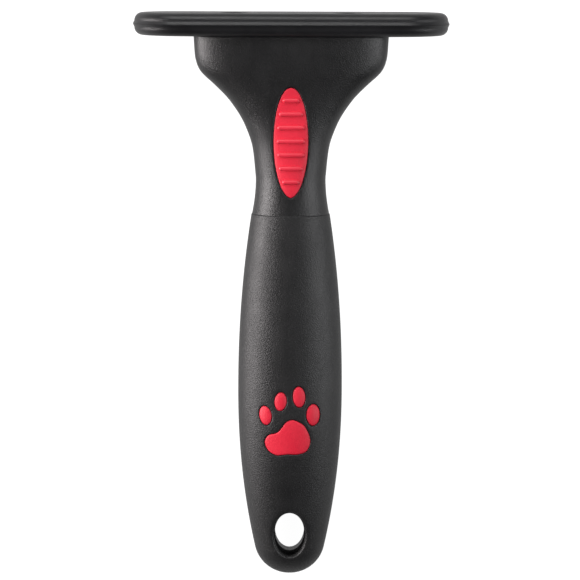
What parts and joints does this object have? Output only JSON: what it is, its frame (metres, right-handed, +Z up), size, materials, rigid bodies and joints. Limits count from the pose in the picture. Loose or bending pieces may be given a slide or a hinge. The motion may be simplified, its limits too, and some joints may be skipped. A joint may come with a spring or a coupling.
{
  "type": "undercoat rake",
  "caption": "T-shaped grooming rake for dense coats: soft-grip handle, flared neck and a head plate with one row of round-tipped, freely turning steel pins.",
  "frame": {"origin": "middle of the bounding box at its base: the plane that the pin tips and the butt rest on", "axes": "+X to the right seen from the thumb side, +Y from the butt to the head, +Z up out of the thumb side"},
  "size_m": [0.0944, 0.17, 0.0393],
  "materials": {
    "core_black": "satin, fine moulded grain",
    "head_black": "satin, fine moulded grain",
    "grip_black": "soft-touch satin",
    "pad_red": "soft-touch matt",
    "retainer_nylon": "natural",
    "screw_steel": "zinc plated",
    "pin_steel": "polished stainless"
  },
  "bodies": {
    "rake": {"handle_core": "core_black", "head_base": "head_black", "head_cover": "head_black", "soft_grip": "grip_black", "thumb_pad": "pad_red", "paw_main_pad": "pad_red", "paw_toe_1": "pad_red", "paw_toe_2": "pad_red", "paw_toe_3": "pad_red", "paw_toe_4": "pad_red", "pin_retainer": "retainer_nylon", "head_screws": "screw_steel"},
    "pin_01_turning": {"pin_01": "pin_steel"},
    "pin_02_turning": {"pin_02": "pin_steel"},
    "pin_03_turning": {"pin_03": "pin_steel"},
    "pin_04_turning": {"pin_04": "pin_steel"},
    "pin_05_turning": {"pin_05": "pin_steel"},
    "pin_06_turning": {"pin_06": "pin_steel"},
    "pin_07_turning": {"pin_07": "pin_steel"},
    "pin_08_turning": {"pin_08": "pin_steel"},
    "pin_09_turning": {"pin_09": "pin_steel"},
    "pin_10_turning": {"pin_10": "pin_steel"},
    "pin_11_turning": {"pin_11": "pin_steel"},
    "pin_12_turning": {"pin_12": "pin_steel"},
    "pin_13_turning": {"pin_13": "pin_steel"},
    "pin_14_turning": {"pin_14": "pin_steel"},
    "pin_15_turning": {"pin_15": "pin_steel"},
    "pin_16_turning": {"pin_16": "pin_steel"},
    "pin_17_turning": {"pin_17": "pin_steel"},
    "pin_18_turning": {"pin_18": "pin_steel"}
  },
  "joints": [
    {"name": "pin_01_spin", "type": "hinge", "parent": "rake", "child": "pin_01_turning", "pos_m": [-0.03885, 0.08167, 0.01541], "axis": [0, 0.1098, -0.994], "continuous": true},
    {"name": "pin_02_spin", "type": "hinge", "parent": "rake", "child": "pin_02_turning", "pos_m": [-0.03428, 0.08167, 0.01541], "axis": [0, 0.1098, -0.994], "continuous": true},
    {"name": "pin_03_spin", "type": "hinge", "parent": "rake", "child": "pin_03_turning", "pos_m": [-0.02971, 0.08167, 0.01541], "axis": [0, 0.1098, -0.994], "continuous": true},
    {"name": "pin_04_spin", "type": "hinge", "parent": "rake", "child": "pin_04_turning", "pos_m": [-0.02514, 0.08167, 0.01541], "axis": [0, 0.1098, -0.994], "continuous": true},
    {"name": "pin_05_spin", "type": "hinge", "parent": "rake", "child": "pin_05_turning", "pos_m": [-0.02057, 0.08167, 0.01541], "axis": [0, 0.1098, -0.994], "continuous": true},
    {"name": "pin_06_spin", "type": "hinge", "parent": "rake", "child": "pin_06_turning", "pos_m": [-0.016, 0.08167, 0.01541], "axis": [0, 0.1098, -0.994], "continuous": true},
    {"name": "pin_07_spin", "type": "hinge", "parent": "rake", "child": "pin_07_turning", "pos_m": [-0.01143, 0.08167, 0.01541], "axis": [0, 0.1098, -0.994], "continuous": true},
    {"name": "pin_08_spin", "type": "hinge", "parent": "rake", "child": "pin_08_turning", "pos_m": [-0.00686, 0.08167, 0.01541], "axis": [0, 0.1098, -0.994], "continuous": true},
    {"name": "pin_09_spin", "type": "hinge", "parent": "rake", "child": "pin_09_turning", "pos_m": [-0.00229, 0.08167, 0.01541], "axis": [0, 0.1098, -0.994], "continuous": true},
    {"name": "pin_10_spin", "type": "hinge", "parent": "rake", "child": "pin_10_turning", "pos_m": [0.00229, 0.08167, 0.01541], "axis": [0, 0.1098, -0.994], "continuous": true},
    {"name": "pin_11_spin", "type": "hinge", "parent": "rake", "child": "pin_11_turning", "pos_m": [0.00686, 0.08167, 0.01541], "axis": [0, 0.1098, -0.994], "continuous": true},
    {"name": "pin_12_spin", "type": "hinge", "parent": "rake", "child": "pin_12_turning", "pos_m": [0.01143, 0.08167, 0.01541], "axis": [0, 0.1098, -0.994], "continuous": true},
    {"name": "pin_13_spin", "type": "hinge", "parent": "rake", "child": "pin_13_turning", "pos_m": [0.016, 0.08167, 0.01541], "axis": [0, 0.1098, -0.994], "continuous": true},
    {"name": "pin_14_spin", "type": "hinge", "parent": "rake", "child": "pin_14_turning", "pos_m": [0.02057, 0.08167, 0.01541], "axis": [0, 0.1098, -0.994], "continuous": true},
    {"name": "pin_15_spin", "type": "hinge", "parent": "rake", "child": "pin_15_turning", "pos_m": [0.02514, 0.08167, 0.01541], "axis": [0, 0.1098, -0.994], "continuous": true},
    {"name": "pin_16_spin", "type": "hinge", "parent": "rake", "child": "pin_16_turning", "pos_m": [0.02971, 0.08167, 0.01541], "axis": [0, 0.1098, -0.994], "continuous": true},
    {"name": "pin_17_spin", "type": "hinge", "parent": "rake", "child": "pin_17_turning", "pos_m": [0.03428, 0.08167, 0.01541], "axis": [0, 0.1098, -0.994], "continuous": true},
    {"name": "pin_18_spin", "type": "hinge", "parent": "rake", "child": "pin_18_turning", "pos_m": [0.03885, 0.08167, 0.01541], "axis": [0, 0.1098, -0.994], "continuous": true}
  ]
}
